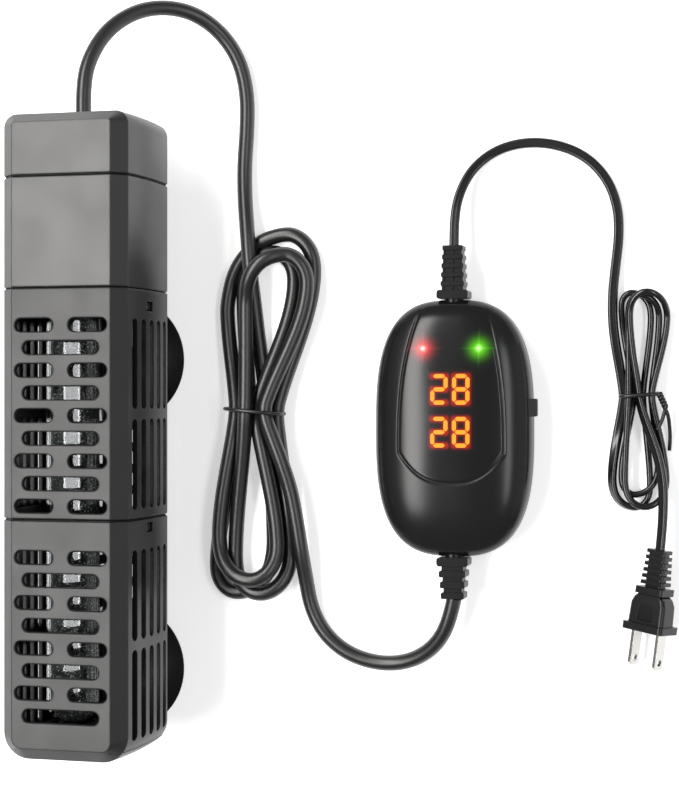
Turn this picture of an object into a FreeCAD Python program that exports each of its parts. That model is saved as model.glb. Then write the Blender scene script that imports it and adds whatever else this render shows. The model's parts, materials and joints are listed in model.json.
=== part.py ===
"""Submersible aquarium heater with an in-line controller and a mains plug, in millimetres.

The heater lies on its two suction cups, which touch the plane Z = 0 as they would touch the
glass of a tank. +Y runs along the heater to its cord end, +Z points out of its front face and
+X points to the controller. The origin is under the middle of heater and controller.
"""
import FreeCAD, Part
import math
import os

V = FreeCAD.Vector
os.makedirs("parts", exist_ok=True)

# ---------------------------------------------------------------- driving dimensions
HEATER_X = -84.5          # heater centre line
HOUSING_LENGTH = 285.9
GLAND_STANDS_OUT = 0.6
BACK_Z = 24.5             # back face of the housing, held off the glass by the cups
DEPTH = 54.5
FRONT_FLAT = 46.2         # width of the flat front face
CHAMFER = 6.2             # 45 degree edge round the front face
BULGE = 2.4               # how far the sides belly out past the chamfers
BACK_CHAMFER = 2.5
WALL = 2.2
CAP_LENGTH = 28.1
SHELL_LENGTH = 49.3
UPPER_GUARD_LENGTH = 102.0
SPIGOT_LENGTH = 9.0
SPIGOT_WALL = 1.5
SPIGOT_GAP = 0.15
SEAM_BEVEL = 0.6
CAP_CORNER = 6.0          # outline corners at the cord end
CAP_BEVEL = 4.4           # how far the front bevel runs in from that end
BASE_CORNER = 12.0        # and at the free end
BASE_BEVEL = 5.6

SLOT_PITCH = 9.96         # front slots, one row to the next
SLOT_HEIGHT = 5.7
LONG_SLOT = 35.5
SHORT_SLOT = 17.7
SHORT_SLOT_X = 12.55
SLOT_LIP = 0.5
SIDE_SLOT_WIDTH = 4.8
SIDE_SLOT_PITCH = 8.7
SIDE_SLOT_LENGTH = 40.0
SIDE_SLOT_COUNT = 5
SIDE_SLOT_TOP_Z = 67.0    # the slot nearest the front

TUBE_RADIUS = 12.5
TUBE_WALL = 1.4
TUBE_BOTTOM_Y = -130.8
TUBE_TOP_Y = 82.0
CORE_RADIUS = 3.0
COIL_RADIUS = 4.0
COIL_WIRE = 0.45
COIL_PITCH = 8.0
LEAD_X = (-3.6, 3.6)      # element leads, off the tube's axis
PIN_X = (-18.0, -10.0)    # water-sensing pins, off the tube's axis
PROBE_X = 17.0

CUP_RADIUS = 30.2
CUP_Y = (34.7, -111.9)    # upper and lower suction cup
CUP_STEM = 3.5
STEM_CLEARANCE = 0.06
BRACKET_WEB_Z = 15.0
BRACKET_WEB = 2.5

CORD_RADIUS = 3.5         # heater cord, round
MAINS_RADIUS = 1.95       # mains cord: a flat twin, so this is the round of equal section

CONTROL_X, CONTROL_Y = 78.3, 3.1
CONTROL_HALF_WIDTH = 35.8
CONTROL_HALF_LENGTH = 57.8
CONTROL_POWER = 2.9       # superellipse exponent of the outline
SPLIT_Z = 13.0            # where the two control shells meet
DOME_HEIGHT = 15.0
SHELL_WALL = 2.2
PANEL_DEPTH = 1.2
LAMP_X = (-11.8, 13.4)     # lamps, off the controller's axis
PANEL_X = 0.8

BUTTON_Y = 12.4
BUTTON_Z = 16.6
BUTTON_LENGTH = 8.0
BUTTON_HEIGHT = 4.0
BUTTON_TRAVEL = 0.8

PLUG_TURN = 7.4           # heading of the plug, degrees off -Y
PLUG_ROLL = -29.0         # it lies on one edge of its flange
PLUG_TOP = (169.9, -50.2)  # where the cord enters
PLUG_FLANGE = (10.3, 7.3, 1.8)   # half width, half thickness, corner radius

TIE_RADIUS = 0.8

# ---------------------------------------------------------------- derived places
BASE_Y = -(HOUSING_LENGTH + GLAND_STANDS_OUT) / 2
TOP_Y = BASE_Y + HOUSING_LENGTH
CAP_Y = TOP_Y - CAP_LENGTH
SHELL_Y = CAP_Y - SHELL_LENGTH
GUARD_Y = SHELL_Y - UPPER_GUARD_LENGTH
FRONT_Z = BACK_Z + DEPTH
AXIS_Z = BACK_Z + DEPTH / 2
PIN_Z = AXIS_Z - 15
TUBE_X, TUBE_Z = HEATER_X - 2.5, AXIS_Z + 4.5   # off centre, clear of the probe and pins below
HEATER_HALF = FRONT_FLAT / 2 + CHAMFER + BULGE + 0.47   # the belly is widest above its middle
BUTTON_TIP_X = HEATER_HALF - HEATER_X   # heater and controller are centred on X = 0
PLUG_Z = (PLUG_FLANGE[2] + (PLUG_FLANGE[0] - PLUG_FLANGE[2]) * math.sin(math.radians(-PLUG_ROLL))
          + (PLUG_FLANGE[1] - PLUG_FLANGE[2]) * math.cos(math.radians(PLUG_ROLL)))


# ---------------------------------------------------------------- helpers
def save(name, *solids):
    """Writes one node; several solids go out as one compound."""
    shape = solids[0] if len(solids) == 1 else Part.makeCompound(list(solids))
    assert shape.isValid(), name + " is not valid"
    assert all(s.Volume > 0 for s in shape.Solids) and shape.Solids, name + " has no volume"
    shape.exportStep("parts/" + name + ".step")


def box(x0, x1, y0, y1, z0, z1):
    return Part.makeBox(x1 - x0, y1 - y0, z1 - z0, V(x0, y0, z0))


def rounded_box(x0, x1, y0, y1, z0, z1, radius):
    """A box whose four edges along Z are rounded."""
    solid = box(x0, x1, y0, y1, z0, z1)
    upright = [e for e in solid.Edges if abs(e.tangentAt(e.FirstParameter).z) > 0.9]
    return solid.makeFillet(radius, upright)


def rod(radius, start, direction, length):
    return Part.makeCylinder(radius, length, V(*start), V(*direction))


def revolved(profile, centre, axis):
    """Turns a closed (radius, height) outline about an axis through centre."""
    side = V(1, 0, 0)
    points = [V(*centre) + side * r + V(*axis) * h for r, h in profile]
    face = Part.Face(Part.makePolygon(points + points[:1]))
    return face.revolve(V(*centre), V(*axis), 360)


def obround_wire(cx, cy, length, height, z):
    """A slot outline lying flat at height z, long along X."""
    r, h = height / 2, length / 2 - height / 2
    a, b = V(cx - h, cy + r, z), V(cx + h, cy + r, z)
    c, d = V(cx + h, cy - r, z), V(cx - h, cy - r, z)
    right, left = V(cx + h + r, cy, z), V(cx - h - r, cy, z)
    return Part.Wire([Part.LineSegment(a, b).toShape(), Part.Arc(b, right, c).toShape(),
                      Part.LineSegment(c, d).toShape(), Part.Arc(d, left, a).toShape()])


def obround(cx, cy, length, height, z0, z1):
    return Part.Face(obround_wire(cx, cy, length, height, z0)).extrude(V(0, 0, z1 - z0))


def fused(solids):
    first, rest = solids[0], solids[1:]
    return first.fuse(rest).removeSplitter() if rest else first


def sliced(items, cutters):
    return items.cut(Part.makeCompound(cutters) if len(cutters) > 1 else cutters[0])


# ---------------------------------------------------------------- heater housing
def section(y, inset=0.0):
    """Cross-section of the housing at y, set in by inset all round."""
    half, shoulder = FRONT_FLAT / 2, FRONT_FLAT / 2 + CHAMFER
    side_z, mid_z = FRONT_Z - CHAMFER, AXIS_Z
    foot = shoulder + BULGE * 0.8
    back_z = BACK_Z + BACK_CHAMFER

    def at(x, z):
        return V(HEATER_X + x, y, z)

    edges = [
        Part.LineSegment(at(-half, FRONT_Z), at(half, FRONT_Z)),
        Part.LineSegment(at(half, FRONT_Z), at(shoulder, side_z)),
        Part.Arc(at(shoulder, side_z), at(shoulder + BULGE, mid_z - 2), at(foot, back_z)),
        Part.LineSegment(at(foot, back_z), at(foot - BACK_CHAMFER, BACK_Z)),
        Part.LineSegment(at(foot - BACK_CHAMFER, BACK_Z), at(BACK_CHAMFER - foot, BACK_Z)),
        Part.LineSegment(at(BACK_CHAMFER - foot, BACK_Z), at(-foot, back_z)),
        Part.Arc(at(-foot, back_z), at(-shoulder - BULGE, mid_z - 2), at(-shoulder, side_z)),
        Part.LineSegment(at(-shoulder, side_z), at(-half, FRONT_Z)),
    ]
    face = Part.Face(Part.Wire([e.toShape() for e in edges]))
    return face.makeOffset2D(-inset, join=2) if inset else face


def prism(y0, y1, inset=0.0):
    return section(y0, inset).extrude(V(0, y1 - y0, 0))


def eased(solid, y, size):
    """Bevels the rim of a housing section at the plane y."""
    rim = [e for e in solid.Edges
           if abs(e.BoundBox.YMin - y) < 1e-3 and abs(e.BoundBox.YMax - y) < 1e-3]
    return solid.makeChamfer(size, rim)


def closed_end(y_seam, y_end, corner, bevel, inset=0.0):
    """One end of the housing, with rounded outline corners and bevels round both faces."""
    inward = 1 if y_seam > y_end else -1
    tip = y_end + inward * inset
    draw_in = inset * (math.sqrt(2) - 1)
    half, shoulder = FRONT_FLAT / 2 - draw_in, FRONT_FLAT / 2 + CHAMFER - inset
    foot = FRONT_FLAT / 2 + CHAMFER + BULGE * 0.8 - inset
    side_z, back_z = FRONT_Z - CHAMFER - draw_in, BACK_Z + BACK_CHAMFER + draw_in
    low = V(foot, back_z, 0)
    belly = Part.Arc(low, V(shoulder + BULGE, AXIS_Z - 2, 0), V(shoulder, side_z, 0))

    def outline(x, z, end, radius):
        def at(px, back):
            return V(HEATER_X + px, end + inward * back, z)

        bend = radius * (1 - math.sqrt(0.5))
        left, right = V(HEATER_X - x, y_seam, z), V(HEATER_X + x, y_seam, z)
        return Part.Wire([
            Part.LineSegment(left, at(-x, radius)).toShape(),
            Part.Arc(at(-x, radius), at(bend - x, bend), at(radius - x, 0)).toShape(),
            Part.LineSegment(at(radius - x, 0), at(x - radius, 0)).toShape(),
            Part.Arc(at(x - radius, 0), at(x - bend, bend), at(x, radius)).toShape(),
            Part.LineSegment(at(x, radius), right).toShape(),
            Part.LineSegment(right, left).toShape()])

    curve = belly.toShape()
    first, last = curve.ParameterRange
    spots = [curve.valueAt(first + (last - first) * k / 5) for k in range(6)]
    round_off = corner - inset
    side = Part.makeLoft([outline(p.x, p.y, tip, round_off) for p in spots], True, False)
    front = Part.makeLoft([outline(shoulder, side_z, tip, round_off),
                           outline(half, FRONT_Z - inset, tip + inward * (bevel - 0.4 * inset),
                                   max(1.0, 0.55 * corner - CHAMFER * 0.35))], True, True)
    back = Part.makeLoft([outline(foot, back_z, tip, round_off),
                          outline(foot - BACK_CHAMFER + 0.6 * inset, BACK_Z + inset,
                                  tip + inward * BACK_CHAMFER, max(1.0, round_off - BACK_CHAMFER))], True, True)
    return side.fuse([front, back])


def rebate(y0, y1):
    """Cuts the step that makes a seam line, between two planes."""
    reach = HEATER_HALF + 1
    block = box(HEATER_X - reach, HEATER_X + reach, y0, y1, BACK_Z - 1, FRONT_Z + 1)
    return block.cut(prism(y0 - 1, y1 + 1, SEAM_BEVEL))


def hollow(solid, y0, y1):
    return solid.cut(prism(y0, y1, WALL))


def spigot(y0, y1):
    """The inner skirt that one housing section pushes into the next."""
    inset = WALL + SPIGOT_GAP
    return prism(y0, y1, inset).cut(prism(y0, y1, inset + SPIGOT_WALL))


def latch(y):
    """Two tongues on a spigot that click into the windows of the next section."""
    reach = HEATER_HALF
    tongues = box(HEATER_X - reach, HEATER_X + reach, y - 1.6, y + 1.6, AXIS_Z - 2.6, AXIS_Z + 2.6)
    band = prism(y - 5, y + 5, 0.9).cut(prism(y - 5, y + 5, WALL + 0.6))
    return tongues.common(band)


def windows(y):
    reach = HEATER_HALF + 1
    through = box(HEATER_X - reach, HEATER_X + reach, y - 2.2, y + 2.2, AXIS_Z - 3.2, AXIS_Z + 3.2)
    core = box(HEATER_X - 20, HEATER_X + 20, y - 3, y + 3, AXIS_Z - 5, AXIS_Z + 5)
    return through.cut(core)


def front_slots(y_first, rows, z0, z1, skip=()):
    """Staggered ventilation slots: two short ones, then one long one, row by row."""
    cutters = []
    for row in range(rows):
        y = y_first - row * SLOT_PITCH
        if any(abs(y - s) < 22 for s in skip):
            continue
        slots = [(0, LONG_SLOT)] if row % 2 else [(-SHORT_SLOT_X, SHORT_SLOT),
                                                  (SHORT_SLOT_X, SHORT_SLOT)]
        for x, length in slots:
            cutters.append(obround(HEATER_X + x, y, length, SLOT_HEIGHT, z0, z1))
            lip = [obround_wire(HEATER_X + x, y, length + g, SLOT_HEIGHT + g, z)
                   for g, z in ((0.0, FRONT_Z - SLOT_LIP), (2 * SLOT_LIP, FRONT_Z))]
            if z1 > FRONT_Z:
                cutters.append(Part.makeLoft(lip, True, True))
    return cutters


def side_slots(y_centres):
    cutters = []
    reach = HEATER_HALF + 1
    for y in y_centres:
        for k in range(SIDE_SLOT_COUNT):
            z = SIDE_SLOT_TOP_Z - k * SIDE_SLOT_PITCH
            slot = obround(0, 0, SIDE_SLOT_LENGTH, SIDE_SLOT_WIDTH, 0, 2 * reach)
            slot.rotate(V(0, 0, 0), V(0, 0, 1), 90)
            slot.rotate(V(0, 0, 0), V(0, 1, 0), 90)
            slot.translate(V(HEATER_X - reach, y, z))
            cutters.append(slot)
    return cutters


def top_cap():
    outer = closed_end(CAP_Y, TOP_Y, CAP_CORNER, CAP_BEVEL).cut(rebate(CAP_Y, CAP_Y + SEAM_BEVEL))
    inner = closed_end(CAP_Y - 1, TOP_Y, CAP_CORNER, CAP_BEVEL, WALL)
    gland_hole = rod(6.0, (HEATER_X, TOP_Y - 5, AXIS_Z), (0, 1, 0), 10)
    save("top_cap", outer.cut([inner, gland_hole]).Solids[0])


def upper_shell():
    outer = eased(eased(prism(SHELL_Y, CAP_Y - 0.2), SHELL_Y, SEAM_BEVEL), CAP_Y - 0.2, SEAM_BEVEL)
    body = hollow(outer, SHELL_Y, CAP_Y)
    bridge = prism(SHELL_Y, SHELL_Y + 4, 1.0).cut(
        prism(SHELL_Y, SHELL_Y + 4, WALL + SPIGOT_GAP + SPIGOT_WALL))
    lower = spigot(SHELL_Y - SPIGOT_LENGTH, SHELL_Y + 2)
    upper = spigot(CAP_Y - 4, CAP_Y + 6)
    top_bridge = prism(CAP_Y - 4.2, CAP_Y - 1.2, 1.0).cut(
        prism(CAP_Y - 4.2, CAP_Y - 1.2, WALL + SPIGOT_GAP + SPIGOT_WALL))
    tongues = latch(SHELL_Y - 7.6)
    save("upper_shell", fused([body, bridge, lower, top_bridge, upper, tongues]))


def upper_guard():
    outer = eased(eased(prism(GUARD_Y, SHELL_Y - 0.2), GUARD_Y, SEAM_BEVEL), SHELL_Y - 0.2, SEAM_BEVEL)
    body = hollow(outer, GUARD_Y, SHELL_Y)
    bridge = prism(GUARD_Y, GUARD_Y + 4, 1.0).cut(
        prism(GUARD_Y, GUARD_Y + 4, WALL + SPIGOT_GAP + SPIGOT_WALL))
    lower = spigot(GUARD_Y - 6.0, GUARD_Y + 2)
    tongues = latch(GUARD_Y - 4.4)
    body = fused([body, bridge, lower, tongues])
    first = SHELL_Y - 16.5
    cutters = front_slots(first, 9, FRONT_Z - 8, FRONT_Z + 1)
    cutters += front_slots(first, 9, BACK_Z - 1, BACK_Z + 8, skip=(CUP_Y[0],))
    cutters += side_slots((SHELL_Y - 13.5 - SIDE_SLOT_LENGTH / 2, GUARD_Y + 4.2 + SIDE_SLOT_LENGTH / 2))
    cutters.append(windows(SHELL_Y - 7.6))
    save("upper_guard", sliced(body, cutters))


def lower_guard():
    rim = GUARD_Y - 0.2
    outer = closed_end(rim, BASE_Y, BASE_CORNER, BASE_BEVEL).cut(rebate(rim - SEAM_BEVEL, rim))
    body = outer.cut(closed_end(rim + 1, BASE_Y, BASE_CORNER, BASE_BEVEL, WALL)).Solids[0]
    web = prism(TUBE_BOTTOM_Y - 8, TUBE_BOTTOM_Y - 5.5, WALL)
    relief = [box(HEATER_X + sx * 18 - 7, HEATER_X + sx * 18 + 7, TUBE_BOTTOM_Y - 9, TUBE_BOTTOM_Y - 5,
                  AXIS_Z + sz * 13 - 6, AXIS_Z + sz * 13 + 6) for sx in (-1, 1) for sz in (-1, 1)]
    web = sliced(web, relief)
    first = GUARD_Y - 16.7
    cutters = front_slots(first, 8, FRONT_Z - 8, FRONT_Z + 1)
    cutters += front_slots(first, 8, BACK_Z - 1, BACK_Z + 8, skip=(CUP_Y[1],))
    cutters += side_slots((GUARD_Y - 13.5 - SIDE_SLOT_LENGTH / 2,
                           GUARD_Y - 17.5 - 1.5 * SIDE_SLOT_LENGTH))
    cutters.append(windows(GUARD_Y - 4.4))
    save("lower_guard", fused([sliced(body, cutters), web]))


# ---------------------------------------------------------------- inside the heater
def quartz_tube():
    """A test-tube shape: open at the cord end, domed at the other."""
    outer = rod(TUBE_RADIUS, (TUBE_X, TUBE_BOTTOM_Y + TUBE_RADIUS, TUBE_Z), (0, 1, 0),
                TUBE_TOP_Y - TUBE_BOTTOM_Y - TUBE_RADIUS)
    outer = outer.fuse(Part.makeSphere(TUBE_RADIUS, V(TUBE_X, TUBE_BOTTOM_Y + TUBE_RADIUS, TUBE_Z)))
    r = TUBE_RADIUS - TUBE_WALL
    inner = rod(r, (TUBE_X, TUBE_BOTTOM_Y + TUBE_RADIUS, TUBE_Z), (0, 1, 0), HOUSING_LENGTH)
    inner = inner.fuse(Part.makeSphere(r, V(TUBE_X, TUBE_BOTTOM_Y + TUBE_RADIUS, TUBE_Z)))
    save("quartz_tube", outer.cut(inner).removeSplitter())


def tube_filling():
    """Granular filling packed round the element, open down the middle."""
    r = TUBE_RADIUS - TUBE_WALL - 0.05
    start, end = TUBE_BOTTOM_Y + TUBE_RADIUS, 60.0
    fill = rod(r, (TUBE_X, start, TUBE_Z), (0, 1, 0), end - start)
    fill = fill.fuse(Part.makeSphere(r, V(TUBE_X, start, TUBE_Z)))
    bore = rod(COIL_RADIUS + COIL_WIRE + 0.3, (TUBE_X, start, TUBE_Z), (0, 1, 0), HOUSING_LENGTH)
    save("tube_filling", fill.cut(bore).removeSplitter())


def element():
    start, length = TUBE_BOTTOM_Y + TUBE_RADIUS + 1, 164.8
    core = rod(CORE_RADIUS, (TUBE_X, start, TUBE_Z), (0, 1, 0), length + 8)
    save("ceramic_core", core)
    helix = Part.makeHelix(COIL_PITCH, length - 8, COIL_RADIUS)
    wire = Part.Wire(helix)
    circle = Part.Wire(Part.makeCircle(COIL_WIRE, V(COIL_RADIUS, 0, 0), V(0, 1, 0)))
    coil = wire.makePipeShell([circle], True, True)
    coil.rotate(V(0, 0, 0), V(1, 0, 0), -90)
    coil.translate(V(TUBE_X, start + 4, TUBE_Z))
    save("heating_coil", coil)
    beads = [rod(COIL_RADIUS + COIL_WIRE, (TUBE_X, y, TUBE_Z), (0, 1, 0), 2.0).cut(core)
             for y in (start, start + length + 1)]
    save("ceramic_beads", *beads)


def seals():
    neck, flange = TUBE_RADIUS - TUBE_WALL, TUBE_RADIUS + 1.5
    plug = revolved([(0, 63), (neck, 63), (neck, TUBE_TOP_Y), (flange, TUBE_TOP_Y), (flange, 86), (0, 86)],
                    (TUBE_X, 0, TUBE_Z), (0, 1, 0))
    leads = [rod(0.9, (TUBE_X + x, 50, TUBE_Z), (0, 1, 0), 60) for x in LEAD_X]
    save("silicone_stopper", sliced(plug, leads))
    plate = prism(70, 74, WALL + SPIGOT_GAP + SPIGOT_WALL + 0.1)
    hole = rod(TUBE_RADIUS + 0.1, (TUBE_X, 60, TUBE_Z), (0, 1, 0), 30)
    pins = [rod(1.25, (HEATER_X + x, 60, PIN_Z), (0, 1, 0), 30) for x in PIN_X]
    probe_hole = rod(2.6, (HEATER_X + PROBE_X, 60, PIN_Z), (0, 1, 0), 30)
    save("seal_bulkhead", sliced(plate, [hole, probe_hole] + pins))
    ring = Part.makeTorus(TUBE_RADIUS + 1.3, 1.2, V(TUBE_X, 75.3, TUBE_Z), V(0, 1, 0))
    save("tube_o_ring", ring)
    cushion = revolved([(0, -5.5), (13.4, -5.5), (13.4, 1.5), (11.0, 1.5), (11.0, 0),
                        (4, -0.3), (0, -0.3)],
                       (TUBE_X, TUBE_BOTTOM_Y, TUBE_Z), (0, 1, 0))
    tip = rod(TUBE_RADIUS, (TUBE_X, TUBE_BOTTOM_Y + TUBE_RADIUS, TUBE_Z), (0, 1, 0), 20)
    tip = tip.fuse(Part.makeSphere(TUBE_RADIUS + 0.05, V(TUBE_X, TUBE_BOTTOM_Y + TUBE_RADIUS, TUBE_Z)))
    save("tube_cushion", cushion.cut(tip))


def sensors():
    """The temperature probe and the two pins that tell when the heater is out of the water."""
    sleeve = rod(2.5, (HEATER_X + PROBE_X, 40, PIN_Z), (0, 1, 0), 36)
    save("temperature_probe", sleeve.makeFillet(1.2, [e for e in sleeve.Edges
                                                      if abs(e.BoundBox.YMax - 40) < 1e-6]))
    pins = [rod(1.2, (HEATER_X + x, 50, PIN_Z), (0, 1, 0), 28) for x in PIN_X]
    save("water_sensing_pins", *pins)


def wiring():
    leads = [rod(0.85, (TUBE_X + x, 57.5, TUBE_Z), (0, 1, 0), 44.5) for x in LEAD_X]
    save("element_leads", *leads)
    save("crimp_sleeves", *[rod(1.9, (TUBE_X + x, 98, TUBE_Z), (0, 1, 0), 10).cut(lead)
                            for x, lead in zip(LEAD_X, leads)])
    potting = prism(88, 96, WALL + SPIGOT_GAP + SPIGOT_WALL + 0.2)
    save("potting_block", sliced(potting, leads))
    can_z = AXIS_Z - 11
    can = rod(7.0, (HEATER_X + 15, 98, can_z), (0, 1, 0), 5).fuse(
        rod(8.5, (HEATER_X + 15, 103, can_z), (0, 1, 0), 1.5))
    tabs = [box(HEATER_X + 15 + x - 2, HEATER_X + 15 + x + 2, 104.5, 111, can_z - 0.4, can_z + 0.4)
            for x in (-4, 4)]
    save("thermal_cutout", fused([can] + tabs))
    clamp = rounded_box(HEATER_X - 14, HEATER_X + 14, 121, 129, AXIS_Z, AXIS_Z + 7, 2)
    saddle = rounded_box(HEATER_X - 14, HEATER_X + 14, 121, 129, AXIS_Z - 8, AXIS_Z - 0.4, 2)
    groove = rod(CORD_RADIUS - 0.1, (HEATER_X, 110, AXIS_Z), (0, 1, 0), 30)
    holes = [rod(1.3, (HEATER_X + x, 125, AXIS_Z - 10), (0, 0, 1), 30) for x in (-10, 10)]
    save("cord_clamp", sliced(clamp, [groove] + holes), sliced(saddle, [groove] + holes))
    screws = [rod(1.25, (HEATER_X + x, 125, AXIS_Z - 6), (0, 0, 1), 13).fuse(
        rod(2.4, (HEATER_X + x, 125, AXIS_Z + 7), (0, 0, 1), 1.8)) for x in (-10, 10)]
    save("clamp_screws", *screws)
    gland = revolved([(CORD_RADIUS, -4.6), (8.0, -4.6), (8.0, -3.1), (5.95, -3.1), (5.95, 0.0), (7.5, 0.0),
                      (6.8, 0.6), (CORD_RADIUS, 0.6)],
                     (HEATER_X, TOP_Y, AXIS_Z), (0, 1, 0))
    save("cord_gland", gland)


# ---------------------------------------------------------------- suction cups
def suction_cups():
    for name, y in zip(("upper", "lower"), CUP_Y):
        web_top = BRACKET_WEB_Z + BRACKET_WEB
        web = box(HEATER_X - 13, HEATER_X + 13, y - 9, y + 9, BRACKET_WEB_Z, web_top)
        legs = [box(HEATER_X + s * 11.5 - 1.5, HEATER_X + s * 11.5 + 1.5, y - 9, y + 9, web_top, BACK_Z)
                for s in (-1, 1)]
        hole = rod(CUP_STEM + STEM_CLEARANCE, (HEATER_X, y, 0), (0, 0, 1), 30)
        save(name + "_cup_bracket", fused([web] + legs).cut(hole))
        save(name + "_suction_cup", suction_cup(y))


def suction_cup(y):
    """A bell with a knob: the knob snaps through the bracket and the rim sits on the glass."""
    web_top, neck_z = BRACKET_WEB_Z + BRACKET_WEB, BRACKET_WEB_Z - 0.3
    knob_z, lip, crown = web_top + 3.4, 0.8, 5.0
    corners = [(4.0, crown), (0, crown), (0, knob_z), (3.0, knob_z), (5.0, web_top + 0.3), (CUP_STEM, web_top + 0.3),
               (CUP_STEM, neck_z), (8.4, neck_z), (9.4, 10.8)]
    corners = [V(x, 0, z) for x, z in corners]
    rim = [V(CUP_RADIUS, 0, lip), V(CUP_RADIUS, 0, 0), V(CUP_RADIUS - 3.0, 0, 0)]
    edges = [Part.LineSegment(p, q) for p, q in zip(corners, corners[1:])]
    edges.append(Part.Arc(corners[-1], V(18.5, 0, 5.2), rim[0]))
    edges += [Part.LineSegment(p, q) for p, q in zip(rim, rim[1:])]
    edges.append(Part.Arc(rim[-1], V(16.0, 0, 3.2), corners[0]))
    face = Part.Face(Part.Wire([e.toShape() for e in edges]))
    solid = face.revolve(V(0, 0, 0), V(0, 0, 1), 360)
    solid.translate(V(HEATER_X, y, 0))
    return solid


# ---------------------------------------------------------------- controller
def super_outline(z, half_width, half_length, scale=1.0, count=40):
    """A closed smooth superellipse round the controller's centre at height z."""
    points = []
    for k in range(count):
        a = 2 * math.pi * k / count
        c, s = math.cos(a), math.sin(a)
        x = math.copysign(abs(c) ** (2 / CONTROL_POWER), c) * half_width * scale
        y = math.copysign(abs(s) ** (2 / CONTROL_POWER), s) * half_length * scale
        points.append(V(CONTROL_X + x, CONTROL_Y + y, z))
    curve = Part.BSplineCurve()
    curve.interpolate(points, PeriodicFlag=True)
    return Part.Wire(curve.toShape())


def dome(inset=0.0):
    """The upper half of the pebble, set in by inset."""
    a, b, h = CONTROL_HALF_WIDTH - inset, CONTROL_HALF_LENGTH - inset, DOME_HEIGHT - inset
    wires = []
    for t in (0.0, 0.22, 0.42, 0.6, 0.75, 0.86, 0.94, 0.985):
        wires.append(super_outline(SPLIT_Z + t * h, a, b, (1 - t ** 2.5) ** (1 / 2.5)))
    return Part.makeLoft(wires, True, False)


def keel(inset=0.0):
    """The lower half: nearly upright sides and a flat bottom."""
    a, b, h = CONTROL_HALF_WIDTH - inset, CONTROL_HALF_LENGTH - inset, SPLIT_Z - inset
    wires = [super_outline(SPLIT_Z - t * h, a, b, 1 - 0.11 * t ** 3.2) for t in (0.0, 0.35, 0.65, 0.85, 1.0)]
    return Part.makeLoft(wires, True, False)


def panel_prism(grow=0.0):
    """The display panel's shield outline, as an upright prism."""
    half_low, half_top = 23.8 + grow, 12.6 + grow
    low_y, shoulder_y, top_y = CONTROL_Y - 24.4 - grow, CONTROL_Y - 10.9, CONTROL_Y + 53.6 + grow
    centre = CONTROL_X + PANEL_X
    right = [V(centre + half_low, shoulder_y, 0), V(centre + half_low - 1.6, CONTROL_Y + 11.6, 0),
             V(centre + half_top + 4.6, CONTROL_Y + 35.6, 0), V(centre + half_top, top_y, 0)]
    left = [V(2 * centre - p.x, p.y, 0) for p in reversed(right)]
    up, down = Part.BSplineCurve(), Part.BSplineCurve()
    up.interpolate(right)
    down.interpolate(left)
    bottom = Part.Arc(left[-1], V(centre, low_y, 0), right[0])
    edges = [up.toShape(), Part.LineSegment(right[-1], left[0]).toShape(), down.toShape(), bottom.toShape()]
    return Part.Face(Part.Wire(edges)).extrude(V(0, 0, 60))


SCREW_SPOTS = [(sx * 22.5, sy * 38.0) for sx in (-1, 1) for sy in (-1, 1)]


def control_shells():
    outer, inner = dome(), dome(SHELL_WALL)
    skin = outer.cut(inner)
    seat = panel_prism(0.15).common(outer.cut(dome(PANEL_DEPTH)))
    sight = [box(CONTROL_X - 10.3, CONTROL_X + 11.9, CONTROL_Y - 10.4, CONTROL_Y + 26.6, 17, 40)]
    sight += [rod(1.7, (CONTROL_X + x, CONTROL_Y + 35.6, 17), (0, 0, 1), 20) for x in LAMP_X]
    keyway = box(CONTROL_X + 25, CONTROL_X + 45, BUTTON_Y - BUTTON_LENGTH / 2 - 0.25,
                 BUTTON_Y + BUTTON_LENGTH / 2 + 0.25,
                 BUTTON_Z - BUTTON_HEIGHT / 2 - 0.25, BUTTON_Z + BUTTON_HEIGHT / 2 + 0.25)
    posts = [rod(3.2, (CONTROL_X + x, CONTROL_Y + y, SPLIT_Z), (0, 0, 1), 13).common(outer)
             for x, y in SCREW_SPOTS]
    holes = [rod(1.15, (CONTROL_X + x, CONTROL_Y + y, SPLIT_Z - 1), (0, 0, 1), 9) for x, y in SCREW_SPOTS]
    ends = [rod(4.6, (CONTROL_X, CONTROL_Y - 80, SPLIT_Z), (0, 1, 0), 160)]
    top = sliced(fused([skin] + posts), [seat, keyway] + sight + holes + ends)
    save("controller_top_shell", top)

    floor_skin = keel().cut(keel(SHELL_WALL))
    stands = [rod(3.2, (CONTROL_X + x, CONTROL_Y + y, 1), (0, 0, 1), SPLIT_Z - 1.05) for x, y in SCREW_SPOTS]
    shafts = [rod(1.5, (CONTROL_X + x, CONTROL_Y + y, -1), (0, 0, 1), 20) for x, y in SCREW_SPOTS]
    wells = [rod(2.9, (CONTROL_X + x, CONTROL_Y + y, -1), (0, 0, 1), 4) for x, y in SCREW_SPOTS]
    ledges = [rod(2.4, (CONTROL_X + x, CONTROL_Y + y, 1), (0, 0, 1), 6.5)
              for x, y in ((-13, -34), (13, -34), (-13, 34), (13, 34))]
    bottom = sliced(fused([floor_skin] + stands + ledges), shafts + wells + ends)
    save("controller_bottom_shell", bottom)

    panel = panel_prism().common(outer.cut(dome(PANEL_DEPTH - 0.1)))
    save("display_panel", panel)
    screws = []
    for x, y in SCREW_SPOTS:
        head = rod(2.5, (CONTROL_X + x, CONTROL_Y + y, 1.2), (0, 0, 1), 1.8)
        cross = [box(CONTROL_X + x - a, CONTROL_X + x + a, CONTROL_Y + y - b, CONTROL_Y + y + b, 1.0, 2.2)
                 for a, b in ((1.6, 0.35), (0.35, 1.6))]
        shaft = rod(1.1, (CONTROL_X + x, CONTROL_Y + y, 3.0), (0, 0, 1), 17)
        screws.append(head.fuse(shaft).cut(Part.makeCompound(cross)))
    save("controller_screws", *screws)


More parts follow.
